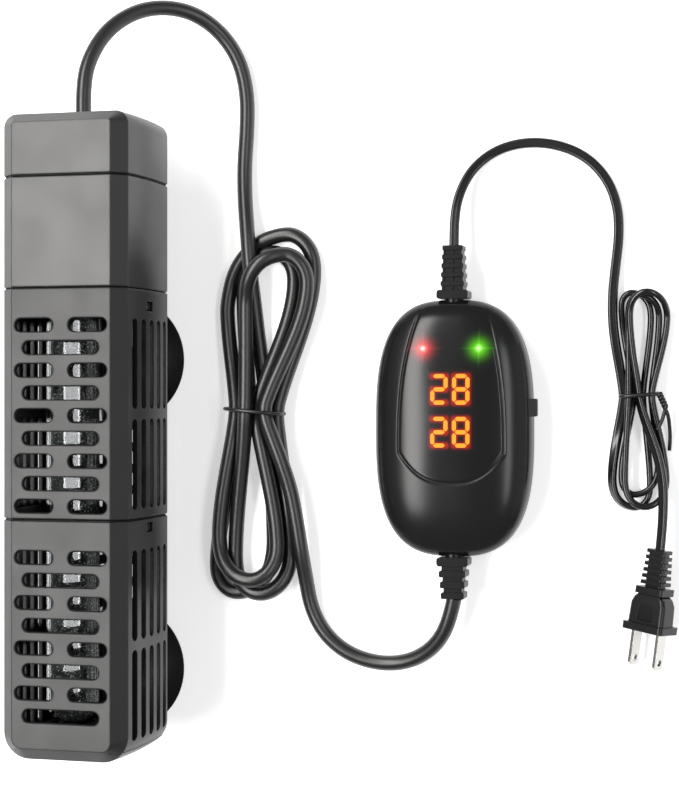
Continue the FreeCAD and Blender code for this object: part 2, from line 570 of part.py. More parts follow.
def controller_electronics():
    save("main_board", rounded_box(CONTROL_X - 18.5, CONTROL_X + 18.5, CONTROL_Y - 43, CONTROL_Y + 44.6, 7.5, 9.1, 2))
    board = rounded_box(CONTROL_X - 16, CONTROL_X + 16, CONTROL_Y - 13, CONTROL_Y + 40.6, 14.2, 15.8, 2)
    notch = box(CONTROL_X + 13.0, CONTROL_X + 17, BUTTON_Y - 4.2, BUTTON_Y + 4.2, 13, 17)
    save("display_board", board.cut(notch))
    for name, dy in (("upper", 17.4), ("lower", -1.6)):
        y = CONTROL_Y + dy
        module = rounded_box(CONTROL_X - 9.2, CONTROL_X + 10.8, y - 8.6, y + 8.6, 15.8, 23.4, 0.8)
        save(name + "_display", module)
    for name, x in zip(("red", "green"), LAMP_X):
        y = CONTROL_Y + 35.6
        lamp = rod(1.5, (CONTROL_X + x, y, 15.8), (0, 0, 1), 5.6)
        lamp = lamp.fuse(Part.makeSphere(1.5, V(CONTROL_X + x, y, 21.4))).removeSplitter()
        save(name + "_lamp", lamp)
    save("relay", rounded_box(CONTROL_X - 9.5, CONTROL_X + 6, CONTROL_Y - 38, CONTROL_Y - 19, 9.1, 21.0, 0.8))
    cap = rod(5.0, (CONTROL_X + 12.5, CONTROL_Y - 28, 9.1), (0, 0, 1), 11)
    save("smoothing_capacitor", cap)
    save("dropper_capacitor", rounded_box(CONTROL_X - 16, CONTROL_X - 10.5, CONTROL_Y - 36, CONTROL_Y - 20, 9.1, 20, 0.8))
    save("micro_controller", rounded_box(CONTROL_X - 6, CONTROL_X + 6, CONTROL_Y + 22, CONTROL_Y + 33.5, 9.1, 11.3, 0.4))
    save("terminal_block", box(CONTROL_X - 9, CONTROL_X + 9, CONTROL_Y + 36, CONTROL_Y + 43.5, 9.1, 13.8))
    switch = box(CONTROL_X + 13.5, CONTROL_X + 18.4, BUTTON_Y - 3.2, BUTTON_Y + 3.2, 9.1, 18.9)
    save("side_switch", switch)


def button():
    """The cap stands out of the side wall and carries the rod that works the switch."""
    y0, y1 = BUTTON_Y - BUTTON_LENGTH / 2, BUTTON_Y + BUTTON_LENGTH / 2
    z0, z1 = BUTTON_Z - BUTTON_HEIGHT / 2, BUTTON_Z + BUTTON_HEIGHT / 2
    tip = BUTTON_TIP_X
    cap = box(CONTROL_X + 31.0, tip, y0, y1, z0, z1)
    cap = cap.makeFillet(0.9, [e for e in cap.Edges if abs(e.BoundBox.XMin - tip) < 1e-6])
    flange = box(CONTROL_X + 29.6, CONTROL_X + 31.0, y0 - 1.5, y1 + 1.5, z0 - 0.8, z1 + 0.5)
    push_rod = rod(1.1, (CONTROL_X + 18.4 + BUTTON_TRAVEL + 0.1, BUTTON_Y, BUTTON_Z), (1, 0, 0),
                   29.6 - 18.4 - BUTTON_TRAVEL)
    save("temperature_button", fused([cap, flange, push_rod]))


def strain_relief(name, out, cord, rings, length, near, far, depth):
    """A moulded relief: a disc held inside the shell, a neck, a square collar, then slotted rings."""
    wall = CONTROL_HALF_LENGTH
    pieces = [rod(4.5, (CONTROL_X, wall - 8.0, SPLIT_Z), (0, 1, 0), 8.4),
              rod(5.4, (CONTROL_X, wall - 8.0, SPLIT_Z), (0, 1, 0), 1.8),
              rounded_box(CONTROL_X - 7.1, CONTROL_X + 7.1, wall + 0.3, wall + 4.3,
                          SPLIT_Z - 5.4, SPLIT_Z + 5.4, 1.2)]
    pitch, pockets = (length - 4.3) / rings, []
    for k in range(rings):
        y0 = wall + 4.3 + k * pitch
        half = near - (near - far) * k / (rings - 1)
        pieces.append(box(CONTROL_X - half + depth, CONTROL_X + half - depth, y0, y0 + pitch,
                          SPLIT_Z - half + 0.4 + depth, SPLIT_Z + half - 0.4 - depth))
        for x in (-3.6, 0.5):
            pockets += [box(CONTROL_X + x, CONTROL_X + x + 3.1, y0 - 0.2, y0 + pitch * 0.4 + 0.3, z, z + 3)
                        for z in (SPLIT_Z + half - 0.9 - depth, SPLIT_Z - half + 0.9 + depth - 3)]
        pieces.append(rounded_box(CONTROL_X - half, CONTROL_X + half, y0 + pitch * 0.4, y0 + pitch,
                                  SPLIT_Z - half + 0.6, SPLIT_Z + half - 0.6, 0.7))
    bore = rod(cord, (CONTROL_X, 0, SPLIT_Z), (0, 1, 0), HOUSING_LENGTH)
    solid = fused(pieces).cut([bore] + (pockets if depth < 1 else []))
    if out < 0:
        solid.rotate(V(CONTROL_X, 0, SPLIT_Z), V(0, 0, 1), 180)
    solid.translate(V(0, CONTROL_Y, 0))
    save(name, solid)


# ---------------------------------------------------------------- plug
def place_plug(shape):
    """From the plug's own frame (blades to -Y, cord entry at the origin) to where it lies."""
    shape.rotate(V(0, 0, 0), V(0, 1, 0), PLUG_ROLL)
    shape.rotate(V(0, 0, 0), V(0, 0, 1), -PLUG_TURN)
    shape.translate(V(PLUG_TOP[0], PLUG_TOP[1], PLUG_Z))
    return shape


def slab(half_x, half_z, y0, y1, radius):
    """A block across the plug's axis, its four lengthwise edges rounded."""
    solid = box(-half_x, half_x, y0, y1, -half_z, half_z)
    along = [e for e in solid.Edges if abs(e.tangentAt(e.FirstParameter).y) > 0.9]
    return solid.makeFillet(radius, along)


def plug():
    half_x, half_z, corner = PLUG_FLANGE
    pieces = [slab(4.0, 2.5, -16.8, 0.0, 0.8)]
    for k in range(6):
        y1 = -k * 2.8
        pieces.append(slab(4.9 + 0.21 * k, 3.1 + 0.08 * k, y1 - 1.6, y1, 0.7))
    pieces.append(slab(7.0, 5.3, -19.8, -16.8, 1.0))
    rings = []
    for hx, hz, y in ((5.9, 4.2, -19.8), (7.7, 4.6, -21.4), (8.8, 5.0, -24.0), (9.1, 5.2, -33.0)):
        outline = slab(hx, hz, y - 1, y, 1.8)
        rings.append([f for f in outline.Faces if f.BoundBox.YMin > y - 1e-3][0].OuterWire)
    pieces.append(Part.makeLoft(rings, True, True))
    pieces.append(slab(half_x, half_z, -36.2, -33.0, corner))
    body = fused(pieces)
    cutters = [box(s * 6.35 - 0.75, s * 6.35 + 0.75, -40.0, -28.0, -3.175, 3.175) for s in (-1, 1)]
    cutters.append(rod(MAINS_RADIUS, (0, 1, 0), (0, -1, 0), 13))
    for s in (-1, 1):
        ramp = [V(-3.8, -22.4, s * 5.3), V(-3.8, -31.6, s * 5.3), V(-3.8, -31.6, s * 4.2)]
        cutters.append(Part.Face(Part.makePolygon(ramp + ramp[:1])).extrude(V(7.6, 0, 0)))
    save("plug_body", place_plug(sliced(body, cutters)))
    blades = []
    for s in (-1, 1):
        blade = box(s * 6.35 - 0.75, s * 6.35 + 0.75, -52.4, -28.0, -3.175, 3.175)
        tips = [e for e in blade.Edges if e.BoundBox.YMax < -52.39 and e.BoundBox.XLength > 1]
        blade = blade.makeChamfer(1.4, tips)
        blades.append(place_plug(blade.cut(rod(1.55, (-20, -49.0, 0), (1, 0, 0), 40))))
    save("plug_blades", *blades)


# ---------------------------------------------------------------- cords
def corner_radius(a, b, c):
    """The radius that rounds corner b, from its two runs and its turn."""
    turn = (b - a).getAngle(c - b)
    return 0.45 * min((b - a).Length, (c - b).Length) / math.tan(turn / 2)


def cord_tube(name, points, radius):
    """Straight runs joined by tangent arcs, swept with a circle."""
    route = [V(*p) for p in points]
    edges, start, shortest = [], route[0], math.inf
    for a, b, c in zip(route, route[1:], route[2:]):
        r = corner_radius(a, b, c)
        shortest = min(shortest, r)
        turn = (b - a).getAngle(c - b)
        back = r * math.tan(turn / 2)
        before = b - (b - a).normalize() * back
        after = b + (c - b).normalize() * back
        bisector = ((before - b) + (after - b)).normalize()
        middle = b + bisector * (r / math.cos(turn / 2) - r)
        edges += [Part.LineSegment(start, before).toShape(), Part.Arc(before, middle, after).toShape()]
        start = after
    edges.append(Part.LineSegment(start, route[-1]).toShape())
    path = Part.Wire(edges)
    ring = Part.Wire(Part.makeCircle(radius, route[0], route[1] - route[0]))
    tube = path.makePipeShell([ring], True, False)
    share = tube.Volume / (math.pi * radius ** 2 * path.Length)
    print(f"{name}: {path.Length:.0f} mm, tightest radius {shortest:.1f}, volume share {share:.3f}")
    save(name, tube)


HEATER_ROUTE_OUT = [       # gland to the first hank
    (-84.5, 143.3, 51.75), (-85.0, 156.2, 51.4), (-83.6, 170.2, 48.4), (-77.6, 184.9, 41.0),
    (-67.2, 194.7, 32.1), (-55.5, 198.1, 22.9), (-43.7, 196.0, 14.6), (-33.2, 187.8, 8.4),
    (-25.5, 175.6, 4.7), (-21.9, 159.7, 3.5), (-22.0, 142.7, 3.5), (-23.3, 125.7, 3.6),
    (-22.5, 109.7, 5.4), (-20.3, 95.7, 9.2), (-19.0, 83.4, 10.5)]
HEATER_ROUTE_IN = [        # first hank to the controller
    (5.9, -54.3, 9.6), (7.2, -67.3, 5.8), (8.9, -80.3, 3.6), (14.7, -91.9, 3.5),
    (24.5, -100.5, 3.5), (36.3, -104.9, 3.5), (48.8, -105.7, 4.0), (60.8, -102.1, 6.2),
    (70.5, -94.3, 9.6), (76.3, -83.3, 12.4), (78.3, -73.7, 13.0)]
MAINS_ROUTE_OUT = [        # controller to the second hank
    (78.3, 85.3, 13.0), (78.1, 96.7, 12.2), (79.7, 109.2, 8.8), (85.3, 121.2, 4.8),
    (95.8, 129.5, 2.4), (109.3, 132.7, 1.95), (123.8, 131.1, 1.95), (136.8, 125.1, 1.95),
    (146.1, 114.9, 1.95), (150.7, 102.2, 1.95), (151.2, 89.2, 2.05), (149.8, 76.7, 2.6),
    (148.6, 64.2, 4.6), (148.7, 52.7, 6.9)]
MAINS_ROUTE_IN = [         # second hank to the plug
    (171.1, -21.3, 9.0), (171.2, -31.3, 9.2), (170.8, -40.8, 9.9), (169.9, -50.2, PLUG_Z)]

HANK_OUTLINES = {
    # name: waist (x, y, half width), top (apex x, y, half width), bottom (apex x, y, half width), height
    "heater_cord_hank": ((-16.3, 10.5, 14.5), (-3.2, 95.7, 25.5), (-19.4, -77.8, 22.8), 22.0),
    "mains_cord_hank": ((160.7, 17.9, 11.0), (160.3, 65.7, 14.5), (160.9, -34.3, 17.0), 15.5),
}


def hank(name):
    """The outer shape of a bow-tied bundle: two lobes and a tied waist."""
    (wx, wy, wh), (tx, ty, th), (bx, by, bh), height = HANK_OUTLINES[name]

    def side(s):
        return [(wx + s * wh, wy),
                (wx + 0.25 * (tx - wx) + s * (0.35 * wh + 0.65 * th), wy + 0.42 * (ty - wy)),
                (wx + 0.6 * (tx - wx) + s * th, wy + 0.72 * (ty - wy)),
                (tx + s * 0.62 * th, wy + 0.94 * (ty - wy))]

    def lower(s):
        return [(wx + 0.25 * (bx - wx) + s * (0.35 * wh + 0.65 * bh), wy + 0.42 * (by - wy)),
                (wx + 0.6 * (bx - wx) + s * bh, wy + 0.72 * (by - wy)),
                (bx + s * 0.62 * bh, wy + 0.94 * (by - wy))]

    ring = side(1) + [(tx, ty)] + side(-1)[::-1] + lower(-1) + [(bx, by)] + lower(1)[::-1]
    curve = Part.BSplineCurve()
    curve.interpolate([V(x, y, 0) for x, y in ring], PeriodicFlag=True)
    save(name, Part.Face(Part.Wire(curve.toShape())).extrude(V(0, 0, height)))


def tie(name, x, y, half_width, height, tilt):
    """A thin round tie drawn tight round a bundle."""
    r = TIE_RADIUS
    outer = rounded_box(-half_width - r, half_width + r, 0, height, -r, r, 4.0)
    inner = rounded_box(-half_width + r, half_width - r, 2 * r, height - 2 * r, -r - 1, r + 1, 2.4)
    ring = outer.cut(inner)
    ring.rotate(V(0, 0, 0), V(1, 0, 0), 90)
    ring.rotate(V(0, 0, 0), V(0, 0, 1), tilt)
    ring.translate(V(x, y, 0))
    save(name, ring)


def cords():
    cord_tube("heater_cord_rise", HEATER_ROUTE_OUT, CORD_RADIUS)
    cord_tube("heater_cord_tail", HEATER_ROUTE_IN, CORD_RADIUS)
    cord_tube("mains_cord_rise", MAINS_ROUTE_OUT, MAINS_RADIUS)
    cord_tube("mains_cord_tail", MAINS_ROUTE_IN, MAINS_RADIUS)
    for name in HANK_OUTLINES:
        hank(name)
    tie("heater_cord_tie", -16.3, 10.5, 14.0, 21.0, -4)
    tie("mains_cord_tie", 160.7, 17.9, 10.4, 13.0, 4)


# ---------------------------------------------------------------- everything
top_cap()
upper_shell()
upper_guard()
lower_guard()
quartz_tube()
tube_filling()
element()
seals()
sensors()
wiring()
suction_cups()
control_shells()
controller_electronics()
button()
strain_relief("lower_strain_relief", -1, CORD_RADIUS, 3, 19.0, 6.0, 5.25, 1.1)
strain_relief("upper_strain_relief", 1, MAINS_RADIUS, 5, 24.4, 5.35, 4.65, 0.45)
plug()
cords()
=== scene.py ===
"""Looks for the aquarium heater: finishes, cords, lit display, studio and camera. Metres, Z up."""
import json
import math

import bpy
from mathutils import Matrix, Vector


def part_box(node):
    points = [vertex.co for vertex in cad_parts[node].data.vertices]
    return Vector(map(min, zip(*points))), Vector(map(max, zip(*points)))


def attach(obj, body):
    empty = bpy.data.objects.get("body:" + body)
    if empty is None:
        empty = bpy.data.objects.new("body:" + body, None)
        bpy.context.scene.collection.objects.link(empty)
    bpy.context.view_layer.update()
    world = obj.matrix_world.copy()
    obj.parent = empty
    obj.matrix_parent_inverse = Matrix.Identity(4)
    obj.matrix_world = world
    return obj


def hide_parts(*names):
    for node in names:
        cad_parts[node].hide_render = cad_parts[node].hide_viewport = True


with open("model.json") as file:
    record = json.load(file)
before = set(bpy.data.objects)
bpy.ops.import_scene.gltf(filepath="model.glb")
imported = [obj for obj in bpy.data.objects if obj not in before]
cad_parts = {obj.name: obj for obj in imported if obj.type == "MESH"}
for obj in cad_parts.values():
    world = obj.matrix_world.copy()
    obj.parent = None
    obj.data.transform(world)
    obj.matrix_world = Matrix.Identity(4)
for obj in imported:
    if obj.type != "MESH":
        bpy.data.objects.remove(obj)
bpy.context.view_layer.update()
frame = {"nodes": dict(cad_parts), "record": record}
MM = 0.001

SLOT_OF = {part["node"]: part["material_slot"] for part in frame["record"]["subparts"]}
COLOUR = {m["slot"]: m["base_color"] for m in frame["record"]["materials"]}


def middle(node):
    low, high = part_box(node)
    return [(a + b) / 2 for a, b in zip(low, high)]


# ---------------------------------------------------------------- finishes
GRAIN_HEIGHT, SAND_HEIGHT = 0.0002, 0.0004
GRAIN_SCALE, CLOUD_SCALE, SAND_SCALE = 2500.0, 60, 1900
DEEP, OPEN_AIR = 0.72, 0.97        # the share of its surroundings a spot sees, where the painted shade takes all gloss and where it takes none
QUARTZ_IOR = 1.46
SAND_DARK, SAND_MID, SAND_BRIGHT = (0.012, 0.012, 0.012, 1), (0.04, 0.04, 0.039, 1), (0.50, 0.49, 0.47, 1)


def finish(slot, roughness, grain=0.0, grain_scale=GRAIN_SCALE, edge=0.0, metallic=0.0,
           mottle=0.0, specular=0.5, tone=1.0, painted_shade_reach=0.0):
    """A principled finish in the slot's colour times tone, with fine grain, soft edges, uneven gloss and
    painted shade in recesses.

    edge is the radius of the soft edges and mottle the swing of the roughness.
    The last argument is how far a spot looks for a wall beside it: in slots and seams the gloss is taken
    away, as painted shade.
    """
    mat = bpy.data.materials.new(slot)
    mat.use_nodes = True
    nodes, links = mat.node_tree.nodes, mat.node_tree.links
    shader = nodes["Principled BSDF"]
    red, green, blue = [c * tone for c in COLOUR[slot][:3]]
    shader.inputs["Base Color"].default_value = (red, green, blue, 1)
    shader.inputs["Roughness"].default_value = roughness
    shader.inputs["Metallic"].default_value = metallic
    shader.inputs["Specular IOR Level"].default_value = specular
    place = nodes.new("ShaderNodeTexCoord").outputs["Object"]
    normal = None
    if edge:
        bevel = nodes.new("ShaderNodeBevel")
        bevel.samples = 4
        bevel.inputs["Radius"].default_value = edge
        normal = bevel.outputs["Normal"]
    if grain:
        noise = nodes.new("ShaderNodeTexNoise")
        noise.inputs["Scale"].default_value = grain_scale
        noise.inputs["Detail"].default_value = 3
        links.new(place, noise.inputs["Vector"])
        bump = nodes.new("ShaderNodeBump")
        bump.inputs["Strength"].default_value = grain
        bump.inputs["Distance"].default_value = GRAIN_HEIGHT
        links.new(noise.outputs["Fac"], bump.inputs["Height"])
        if normal:
            links.new(normal, bump.inputs["Normal"])
        normal = bump.outputs["Normal"]
    if normal:
        links.new(normal, shader.inputs["Normal"])
    # Painted shade: ambient occlusion takes the gloss away in slots and seams, so they read darker.
    if painted_shade_reach:
        depth = nodes.new("ShaderNodeAmbientOcclusion")
        depth.samples = 6
        depth.only_local = True
        depth.inputs["Distance"].default_value = painted_shade_reach
        shade_fade = nodes.new("ShaderNodeMapRange")
        shade_fade.inputs["From Min"].default_value = DEEP
        shade_fade.inputs["From Max"].default_value = OPEN_AIR
        shade_fade.inputs["To Min"].default_value = 0.0
        shade_fade.inputs["To Max"].default_value = specular
        links.new(depth.outputs["AO"], shade_fade.inputs["Value"])
        links.new(shade_fade.outputs["Result"], shader.inputs["Specular IOR Level"])
    if mottle:
        cloud = nodes.new("ShaderNodeTexNoise")
        cloud.inputs["Scale"].default_value = CLOUD_SCALE
        cloud.inputs["Detail"].default_value = 4
        links.new(place, cloud.inputs["Vector"])
        spread = nodes.new("ShaderNodeMapRange")
        spread.inputs["To Min"].default_value = roughness - mottle
        spread.inputs["To Max"].default_value = roughness + mottle
        links.new(cloud.outputs["Fac"], spread.inputs["Value"])
        links.new(spread.outputs["Result"], shader.inputs["Roughness"])
    return mat


def clear_glass(slot):
    """Quartz, slightly smoked."""
    mat = finish(slot, 0.03, tone=0.8)
    shader = mat.node_tree.nodes["Principled BSDF"]
    shader.inputs["Transmission Weight"].default_value = 1.0
    shader.inputs["IOR"].default_value = QUARTZ_IOR
    return mat


def loose_grains(slot):
    """Dark sand with single bright grains."""
    mat = finish(slot, 0.5, specular=0.25)
    nodes, links = mat.node_tree.nodes, mat.node_tree.links
    place = nodes.new("ShaderNodeTexCoord").outputs["Object"]
    cells = nodes.new("ShaderNodeTexVoronoi")
    cells.inputs["Scale"].default_value = SAND_SCALE
    links.new(place, cells.inputs["Vector"])
    ramp = nodes.new("ShaderNodeValToRGB")
    stops = ramp.color_ramp.elements
    stops[0].color = SAND_DARK
    stops[1].position, stops[1].color = 0.94, SAND_BRIGHT
    stops.new(0.72).color = SAND_MID
    links.new(cells.outputs["Color"], ramp.inputs["Fac"])
    links.new(ramp.outputs["Color"], nodes["Principled BSDF"].inputs["Base Color"])
    bump = nodes.new("ShaderNodeBump")
    bump.inputs["Strength"].default_value = 0.8
    bump.inputs["Distance"].default_value = SAND_HEIGHT
    links.new(cells.outputs["Distance"], bump.inputs["Height"])
    links.new(bump.outputs["Normal"], nodes["Principled BSDF"].inputs["Normal"])
    return mat


def lit(slot, colour, strength):
    """A lit surface of one even colour."""
    mat = finish(slot, 0.4, specular=0.15)
    shader = mat.node_tree.nodes["Principled BSDF"]
    shader.inputs["Emission Color"].default_value = (*colour, 1)
    shader.inputs["Emission Strength"].default_value = strength
    return mat


def halo(name, colour, strength):
    """Light spreading under a dark panel: clear where the mesh's "glow" value is zero."""
    mat = bpy.data.materials.new(name)
    mat.use_nodes = True
    nodes, links = mat.node_tree.nodes, mat.node_tree.links
    nodes.clear()
    out = nodes.new("ShaderNodeOutputMaterial")
    add = nodes.new("ShaderNodeAddShader")
    clear = nodes.new("ShaderNodeBsdfTransparent")
    light = nodes.new("ShaderNodeEmission")
    light.inputs["Color"].default_value = (*colour, 1)
    glow = nodes.new("ShaderNodeAttribute")
    glow.attribute_name = "glow"
    power = nodes.new("ShaderNodeMath")
    power.operation = "MULTIPLY"
    power.inputs[1].default_value = strength
    links.new(glow.outputs["Fac"], power.inputs[0])
    links.new(power.outputs["Value"], light.inputs["Strength"])
    links.new(clear.outputs["BSDF"], add.inputs[0])
    links.new(light.outputs["Emission"], add.inputs[1])
    links.new(add.outputs["Shader"], out.inputs["Surface"])
    return mat


FINISHES = {
    # The housing's finish takes the gloss away in its slots and seams: painted shade.
    "housing_plastic": finish("housing_plastic", 0.34, grain=0.10, edge=0.0009, mottle=0.07, tone=0.32,
                              painted_shade_reach=0.03),
    "cup_rubber": finish("cup_rubber", 0.34, edge=0.0003, mottle=0.05, tone=0.25, specular=0.2),
    "gland_rubber": finish("gland_rubber", 0.28, grain=0.05, edge=0.0003, tone=0.25, specular=0.22),
    "quartz": clear_glass("quartz"),
    "filling": loose_grains("filling"),
    "ceramic": finish("ceramic", 0.7, grain=0.2),
    "element_wire": finish("element_wire", 0.35, metallic=1),
    "steel": finish("steel", 0.3, metallic=1, mottle=0.05),
    "plug_metal": finish("plug_metal", 0.22, metallic=1, edge=0.0003, mottle=0.04, tone=0.62),
    "inner_plastic": finish("inner_plastic", 0.5, edge=0.0002),
    "potting": finish("potting", 0.25, tone=0.5),
    "capacitor_can": finish("capacitor_can", 0.3, edge=0.0002),
    "controller_plastic": finish("controller_plastic", 0.24, grain=0.03, edge=0.0002, mottle=0.02,
                                 tone=0.38, specular=0.28),
    "panel_gloss": finish("panel_gloss", 0.20, grain=0.02, mottle=0.02, tone=0.6, specular=0.30),
    "display": lit("display", (1.0, 0.36, 0.008), 1.2),
    "red_led": lit("red_led", (1.0, 0.55, 0.50), 1.0),
    "green_led": lit("green_led", (0.75, 1.0, 0.60), 1.0),
    "board": finish("board", 0.4),
    "heater_cord": finish("heater_cord", 0.36, grain=0.06, grain_scale=1800, tone=0.3, specular=0.65),
    "mains_cord": finish("mains_cord", 0.24, grain=0.04, tone=0.22, specular=0.55),
    "tie": finish("tie", 0.35, tone=0.35),
}


def dress(obj, material):
    obj.data.materials.clear()
    obj.data.materials.append(material)


def paint(obj, slot):
    dress(obj, FINISHES[slot])
    return obj


for node, piece in frame["nodes"].items():
    dress(piece, FINISHES[SLOT_OF[node]])

# The plug and the button are moulded in the same plastics as the cord and the shells, but duller.
for node in ("plug_body", "temperature_button"):
    dress(frame["nodes"][node], finish(SLOT_OF[node], 0.32, grain=0.06, edge=0.0003, mottle=0.04,
                                       tone=0.3, specular=0.35))

# The two guards are a shade duller than the shell and cap above them.
# Their finish takes the gloss away in slots and seams too: painted shade.
guard_finish = finish("housing_plastic", 0.36, grain=0.10, edge=0.0009, mottle=0.07, tone=0.32,
                      specular=0.36, painted_shade_reach=0.03)
for node in ("upper_guard", "lower_guard"):
    dress(frame["nodes"][node], guard_finish)


# ---------------------------------------------------------------- mesh and curve helpers
def add_mesh(name, points, faces, slot, smooth=True):
    mesh = bpy.data.meshes.new(name)
    mesh.from_pydata([tuple(p) for p in points], [], faces)
    mesh.update()
    if smooth:
        mesh.polygons.foreach_set("use_smooth", [True] * len(mesh.polygons))
    obj = bpy.data.objects.new(name, mesh)
    bpy.context.collection.objects.link(obj)
    return paint(obj, slot)


def skin_faces(rings, around):
    """Quads between closed rings of points, each with the same count of points, and a lid on the last."""
    faces = []
    for i in range(rings - 1):
        for k in range(around):
            n = (k + 1) % around
            faces.append((i * around + k, i * around + n, (i + 1) * around + n, (i + 1) * around + k))
    faces.append(tuple(range((rings - 1) * around, rings * around)))
    return faces


def add_curve(name, points, slot, radius=0.0, profile=None, tilts=None, closed=False):
    """A NURBS line through space with a round or given cross-section."""
    data = bpy.data.curves.new(name, "CURVE")
    data.dimensions = "3D"
    data.resolution_u = 6
    spline = data.splines.new("NURBS")
    spline.points.add(len(points) - 1)
    for point, place in zip(spline.points, points):
        point.co = (*place, 1)
    for point, tilt in zip(spline.points, tilts or []):
        point.tilt = tilt
    spline.use_cyclic_u = closed
    spline.order_u = 3
    spline.use_endpoint_u = not closed
    data.twist_mode = "Z_UP"
    if profile:
        data.bevel_mode = "OBJECT"
        data.bevel_object = profile
    else:
        data.bevel_depth = radius
        data.bevel_resolution = 7
    data.use_fill_caps = True
    obj = bpy.data.objects.new(name, data)
    bpy.context.collection.objects.link(obj)
    return paint(obj, slot)


def metres(points):
    return [tuple(c * MM for c in p) for p in points]


# ---------------------------------------------------------------- cords
CORD_RADIUS = 3.5
HEATER_ROUTE_OUT = [       # gland to the first hank
    (-84.5, 143.3, 51.75), (-85.0, 156.2, 51.4), (-83.6, 170.2, 48.4), (-77.6, 184.9, 41.0),
    (-67.2, 194.7, 32.1), (-55.5, 198.1, 22.9), (-43.7, 196.0, 14.6), (-33.2, 187.8, 8.4),
    (-25.5, 175.6, 4.7), (-21.9, 159.7, 3.5), (-22.0, 142.7, 3.5), (-23.3, 125.7, 3.6),
    (-22.5, 109.7, 5.4), (-20.3, 95.7, 9.2), (-19.0, 83.4, 10.5)]
HEATER_ROUTE_IN = [        # first hank to the controller
    (5.9, -54.3, 9.6), (7.2, -67.3, 5.8), (8.9, -80.3, 3.6), (14.7, -91.9, 3.5),
    (24.5, -100.5, 3.5), (36.3, -104.9, 3.5), (48.8, -105.7, 4.0), (60.8, -102.1, 6.2),
    (70.5, -94.3, 9.6), (76.3, -83.3, 12.4), (78.3, -73.7, 13.0)]
MAINS_ROUTE_OUT = [        # controller to the second hank
    (78.3, 85.3, 13.0), (78.1, 96.7, 12.2), (79.7, 109.2, 8.8), (85.3, 121.2, 4.8),
    (95.8, 129.5, 2.4), (109.3, 132.7, 1.95), (123.8, 131.1, 1.95), (136.8, 125.1, 1.95),
    (146.1, 114.9, 1.95), (150.7, 102.2, 1.95), (151.2, 89.2, 2.05), (149.8, 76.7, 2.6),
    (148.6, 64.2, 4.6), (148.7, 52.7, 6.9)]
PLUG_Z = 10.73
MAINS_ROUTE_IN = [         # second hank to the plug
    (171.1, -21.3, 9.0), (171.2, -31.3, 9.2), (170.8, -40.8, 9.9), (169.9, -50.2, PLUG_Z)]


LEG_POINTS, TURN_POINTS = 6, 3     # along each leg of a fold, and round each half of its end
ROUND_END, LONGEST_END = 1.15, 0.45   # length of the end, by its half width and at most by the fold's length


def bight(waist, enter, leave, sides, apex, heights, hump):
    """One fold of a hank: out from the waist along one side, round the end and back.

    enter and leave are (x, z) of the strand from the waist, sides the x of the two legs,
    apex the (x, y) of the fold and heights the z of the first leg, the fold and the second leg.
    hump lifts the first leg over what it crosses.
    """
    wx, wy = waist
    legs = []
    for (slot_x, slot_z), side, leg_z, lift in ((enter, sides[0], heights[0], hump),
                                                (leave, sides[1], heights[2], 0.0)):
        round_off = min(abs(side - apex[0]) * ROUND_END, LONGEST_END * abs(apex[1] - wy))
        reach = apex[1] - wy - math.copysign(round_off, apex[1] - wy)
        leg = []
        for k in range(LEG_POINTS):
            t = k / LEG_POINTS
            swing = 0.5 * math.sin(math.pi / 2 * t) + 0.5 * t * t * (3 - 2 * t)
            leg.append((wx + slot_x + (side - wx - slot_x) * swing, wy + reach * t,
                        slot_z + (leg_z - slot_z) * math.sin(math.pi / 2 * t)))
        for k in range(TURN_POINTS):
            a = math.pi / 2 * k / TURN_POINTS
            rise = leg_z + (heights[1] - leg_z) * math.sin(a) + lift * math.sin(2 * a)
            leg.append((apex[0] + (side - apex[0]) * math.cos(a),
                        wy + reach + (apex[1] - wy - reach) * math.sin(a), rise))
        legs.append(leg)
    return legs[0] + [(apex[0], apex[1], heights[1])] + legs[1][:0:-1]


HEATER_WAIST = (-16.3, 10.5)
# each fold: enter slot, leave slot, x of the legs, apex, heights, hump on the first leg
HEATER_FOLDS = [
    ((4.4, 3.5), (-4.4, 3.5), (-8.9, -37.0), (-26.5, -75.0), (3.5, 3.5, 3.5), 0.0),
    ((-4.4, 3.5), (0.0, 9.2), (-23.7, 1.3), (-9.7, 85.0), (3.5, 3.5, 3.5), 0.0),
    ((0.0, 9.2), (-9.4, 8.2), (-5.4, -33.7), (-17.2, -68.3), (9.8, 15.0, 10.2), 0.0),
    ((-9.4, 8.2), (9.6, 8.2), (-31.8, 10.7), (-3.4, 93.7), (3.5, 3.5, 3.5), 0.0),
    ((9.6, 8.2), (-2.9, 15.8), (-0.8, -27.0), (-13.9, -74.8), (3.5, 9.5, 6.0), 0.0),
    ((-2.9, 15.8), (5.2, 14.6), (-20.4, 9.2), (-1.8, 83.4), (11.0, 13.0, 10.5), 4.5),
]
LEAD_IN = [(-18.2, 73.5, 10.4), (-17.3, 60.5, 7.4), (-16.2, 44.5, 4.4), (-14.0, 27.5, 3.5)]
LEAD_OUT = [(-11.1, 10.5, 14.6), (-6.7, -1.3, 14.6), (-2.4, -12.8, 13.6), (1.5, -25.8, 11.8),
            (4.0, -40.3, 10.8)]

